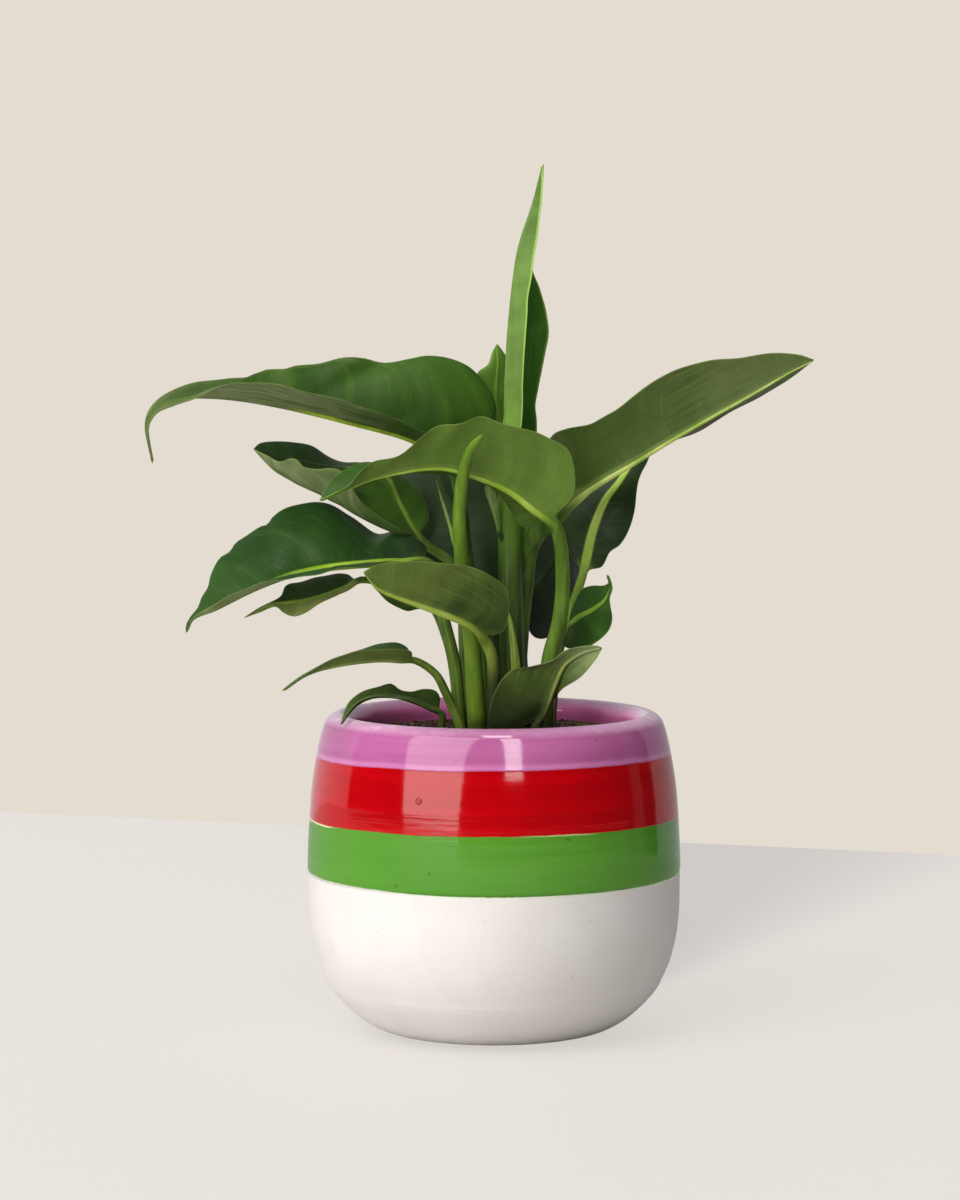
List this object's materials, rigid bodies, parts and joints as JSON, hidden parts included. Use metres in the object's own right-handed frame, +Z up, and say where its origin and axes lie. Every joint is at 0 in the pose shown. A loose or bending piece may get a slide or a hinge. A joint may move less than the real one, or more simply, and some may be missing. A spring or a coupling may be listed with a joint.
{
  "type": "potted dieffenbachia",
  "caption": "Young leafy house plant with long arching and upright leaves, growing in a round-bellied glazed ceramic pot with painted bands",
  "frame": {"origin": "the middle of the pot's flat foot, on the surface it stands on", "axes": "+Z up, along the height; +X to the right and +Y to the back, as seen from the front"},
  "size_m": [0.2789, 0.16, 0.37],
  "materials": {
    "pot": "gloss",
    "soil": "matte",
    "leaf": "satin"
  },
  "bodies": {
    "root": {"pot": "pot", "soil": "soil", "leaf_spear": "leaf", "leaf_bud": "leaf", "leaf_upper_left": "leaf", "leaf_front": "leaf", "leaf_upper_right": "leaf", "leaf_furled": "leaf", "leaf_back": "leaf", "leaf_mid_left": "leaf", "leaf_big_left": "leaf", "leaf_low_front": "leaf", "leaf_under_left": "leaf", "leaf_right_back": "leaf", "leaf_low_back": "leaf", "leaf_small_right": "leaf", "leaf_low_right": "leaf", "leaf_sprig_left": "leaf", "leaf_rim_left": "leaf"}
  },
  "joints": []
}
